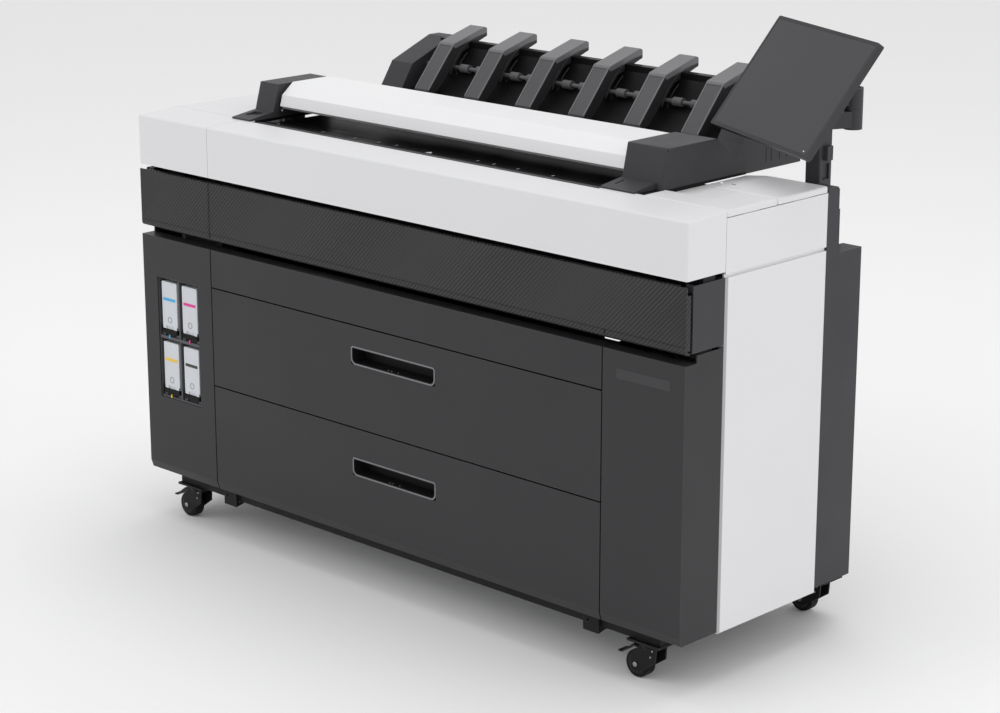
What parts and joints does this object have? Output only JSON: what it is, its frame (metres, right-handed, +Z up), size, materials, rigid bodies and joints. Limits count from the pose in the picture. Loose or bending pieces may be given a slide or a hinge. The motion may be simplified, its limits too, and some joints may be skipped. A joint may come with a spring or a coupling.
{
  "type": "large format plotter",
  "caption": "Large format plotter on casters with roll drawers, ink cartridges, sheet scanner, output stacker and touch screen on an arm.",
  "frame": {"origin": "on the floor, in the middle of the whole outline with the screen as it stands", "axes": "+X to the right seen from the front, +Y to the back, +Z up"},
  "size_m": [1.5085, 0.62, 1.083],
  "materials": {
    "bay_grey": "light grey inside, black latches",
    "belt_rubber": "toothed belt",
    "black_plastic": "satin black",
    "black_steel": "satin black powder coat",
    "cartridge": "light grey with a coloured band",
    "caster_tyre": "black tread",
    "clear_glass": "clear scanner glass",
    "dark_cover": "fine-textured dark grey moulding",
    "dark_front": "satin dark grey panel",
    "engine_black": "black moulding",
    "galvanised_steel": "galvanised sheet",
    "handle_grey": "pocket black with a grey rim",
    "lid_white": "semi-gloss white",
    "paper_roll": "white roll on a black spindle",
    "polished_steel": "ground rail",
    "roller_rubber": "rubber on a steel shaft",
    "screen_face": "black anti-glare glass",
    "stacker_grey": "mid-dark grey ribs",
    "textured_band": "diagonal ribbed texture",
    "white_cover": "satin light grey-white moulding",
    "zinc": "zinc plated"
  },
  "bodies": {
    "root": {"band_ends": "dark_cover", "base_frame": "black_steel", "cartridge_bay": "bay_grey", "centre_panel": "dark_front", "drive_belt": "belt_rubber", "electronics_box": "galvanised_steel", "front_fascia": "white_cover", "inner_frame": "black_steel", "left_cabinet_panel": "dark_front", "left_fascia": "white_cover", "power_inlet": "black_plastic", "print_platen": "galvanised_steel", "print_rail": "polished_steel", "rear_panel": "dark_cover", "rear_side_covers": "dark_cover", "right_cabinet_panel": "dark_front", "scan_glass": "clear_glass", "scanner_bed": "black_plastic", "scanner_bracket": "dark_cover", "scanner_housing": "dark_cover", "screen_column": "dark_cover", "side_panels": "white_cover", "stacker_ends": "dark_cover", "stacker_ribs": "stacker_grey", "stacker_tray": "black_plastic", "top_cover_left": "white_cover", "top_cover_right_front": "white_cover", "top_cover_right_rear": "white_cover", "upper_side_panels": "white_cover"},
    "drawer_lower": {"drawer_front_lower": "dark_front", "drawer_tray_lower": "galvanised_steel", "handle_lower": "handle_grey"},
    "roll_lower": {"media_roll_lower": "paper_roll"},
    "drawer_upper": {"drawer_front_upper": "dark_front", "drawer_tray_upper": "galvanised_steel", "handle_upper": "handle_grey"},
    "roll_upper": {"media_roll_upper": "paper_roll"},
    "door": {"front_door": "textured_band"},
    "lid": {"scanner_lid": "lid_white"},
    "ink_cyan": {"cartridge_cyan": "cartridge"},
    "ink_magenta": {"cartridge_magenta": "cartridge"},
    "ink_yellow": {"cartridge_yellow": "cartridge"},
    "ink_black": {"cartridge_black": "cartridge"},
    "carriage": {"print_carriage": "engine_black"},
    "pulley": {"motor_pulley": "zinc"},
    "feed": {"feed_roller": "roller_rubber"},
    "output_rollers": {"stacker_rollers": "roller_rubber"},
    "arm": {"screen_arm": "dark_cover"},
    "screen": {"screen_housing": "dark_cover", "screen_glass": "screen_face"},
    "fork_front_left": {"caster_fork_front_left": "black_steel"},
    "wheel_front_left": {"caster_wheel_front_left": "caster_tyre"},
    "brake_front_left": {"caster_brake_front_left": "black_steel"},
    "fork_front_right": {"caster_fork_front_right": "black_steel"},
    "wheel_front_right": {"caster_wheel_front_right": "caster_tyre"},
    "brake_front_right": {"caster_brake_front_right": "black_steel"},
    "fork_rear_left": {"caster_fork_rear_left": "black_steel"},
    "wheel_rear_left": {"caster_wheel_rear_left": "caster_tyre"},
    "fork_rear_right": {"caster_fork_rear_right": "black_steel"},
    "wheel_rear_right": {"caster_wheel_rear_right": "caster_tyre"}
  },
  "joints": [
    {"name": "drawer_lower_slide", "type": "slide", "parent": "root", "child": "drawer_lower", "axis": [0, -1, 0], "range_m": [0, 0.36]},
    {"name": "roll_lower_spin", "type": "hinge", "parent": "drawer_lower", "child": "roll_lower", "pos_m": [-0.04004, -0.078, 0.203], "axis": [1, 0, 0], "continuous": true},
    {"name": "drawer_upper_slide", "type": "slide", "parent": "root", "child": "drawer_upper", "axis": [0, -1, 0], "range_m": [0, 0.36]},
    {"name": "roll_upper_spin", "type": "hinge", "parent": "drawer_upper", "child": "roll_upper", "pos_m": [-0.04004, -0.078, 0.418], "axis": [1, 0, 0], "continuous": true},
    {"name": "front_door_hinge", "type": "hinge", "parent": "root", "child": "door", "pos_m": [-0.05469, -0.302, 0.709], "axis": [-1, 0, 0], "range_deg": [0, 75]},
    {"name": "scanner_lid_hinge", "type": "hinge", "parent": "root", "child": "lid", "pos_m": [-0.06969, -0.026, 0.856], "axis": [-1, 0, 0], "range_deg": [0, 60]},
    {"name": "cartridge_cyan_slide", "type": "slide", "parent": "root", "child": "ink_cyan", "axis": [0, -1, 0], "range_m": [0, 0.18]},
    {"name": "cartridge_magenta_slide", "type": "slide", "parent": "root", "child": "ink_magenta", "axis": [0, -1, 0], "range_m": [0, 0.18]},
    {"name": "cartridge_yellow_slide", "type": "slide", "parent": "root", "child": "ink_yellow", "axis": [0, -1, 0], "range_m": [0, 0.18]},
    {"name": "cartridge_black_slide", "type": "slide", "parent": "root", "child": "ink_black", "axis": [0, -1, 0], "range_m": [0, 0.18]},
    {"name": "carriage_slide", "type": "slide", "parent": "root", "child": "carriage", "axis": [-1, 0, 0], "range_m": [0, 0.901]},
    {"name": "motor_pulley_spin", "type": "hinge", "parent": "root", "child": "pulley", "pos_m": [0.50431, -0.026, 0.732], "axis": [0, 1, 0], "continuous": true},
    {"name": "feed_roller_spin", "type": "hinge", "parent": "root", "child": "feed", "pos_m": [-0.05469, -0.17, 0.629], "axis": [1, 0, 0], "continuous": true},
    {"name": "output_roller_spin", "type": "hinge", "parent": "root", "child": "output_rollers", "pos_m": [-0.06969, 0.214, 0.896], "axis": [1, 0, 0], "continuous": true},
    {"name": "screen_swivel", "type": "hinge", "parent": "root", "child": "arm", "pos_m": [0.61731, 0.16, 0.945], "axis": [0, 0, 1], "range_deg": [-8, 25]},
    {"name": "screen_tilt", "type": "hinge", "parent": "arm", "child": "screen", "pos_m": [0.57449, 0.07713, 0.97449], "axis": [0.9085, -0.4179, 0], "range_deg": [-25, 30]},
    {"name": "caster_swivel_front_left", "type": "hinge", "parent": "root", "child": "fork_front_left", "pos_m": [-0.65769, -0.263, 0.071], "axis": [0, 0, 1], "continuous": true},
    {"name": "wheel_spin_front_left", "type": "hinge", "parent": "fork_front_left", "child": "wheel_front_left", "pos_m": [-0.68469, -0.263, 0.025], "axis": [0, 1, 0], "continuous": true},
    {"name": "brake_pedal_front_left", "type": "hinge", "parent": "fork_front_left", "child": "brake_front_left", "pos_m": [-0.67169, -0.263, 0.054], "axis": [0, -1, 0], "range_deg": [0, 8]},
    {"name": "caster_swivel_front_right", "type": "hinge", "parent": "root", "child": "fork_front_right", "pos_m": [0.54831, -0.263, 0.071], "axis": [0, 0, 1], "continuous": true},
    {"name": "wheel_spin_front_right", "type": "hinge", "parent": "fork_front_right", "child": "wheel_front_right", "pos_m": [0.52131, -0.263, 0.025], "axis": [0, 1, 0], "continuous": true},
    {"name": "brake_pedal_front_right", "type": "hinge", "parent": "fork_front_right", "child": "brake_front_right", "pos_m": [0.53431, -0.263, 0.054], "axis": [0, -1, 0], "range_deg": [0, 8]},
    {"name": "caster_swivel_rear_left", "type": "hinge", "parent": "root", "child": "fork_rear_left", "pos_m": [-0.67169, 0.18, 0.071], "axis": [0, 0, 1], "continuous": true},
    {"name": "wheel_spin_rear_left", "type": "hinge", "parent": "fork_rear_left", "child": "wheel_rear_left", "pos_m": [-0.69869, 0.18, 0.025], "axis": [0, 1, 0], "continuous": true},
    {"name": "caster_swivel_rear_right", "type": "hinge", "parent": "root", "child": "fork_rear_right", "pos_m": [0.56231, 0.18, 0.071], "axis": [0, 0, 1], "continuous": true},
    {"name": "wheel_spin_rear_right", "type": "hinge", "parent": "fork_rear_right", "child": "wheel_rear_right", "pos_m": [0.53531, 0.18, 0.025], "axis": [0, 1, 0], "continuous": true}
  ],
  "couplings": [
    {"joint": "motor_pulley_spin", "follows": "carriage_slide", "rad_per_m": 66.667}
  ]
}
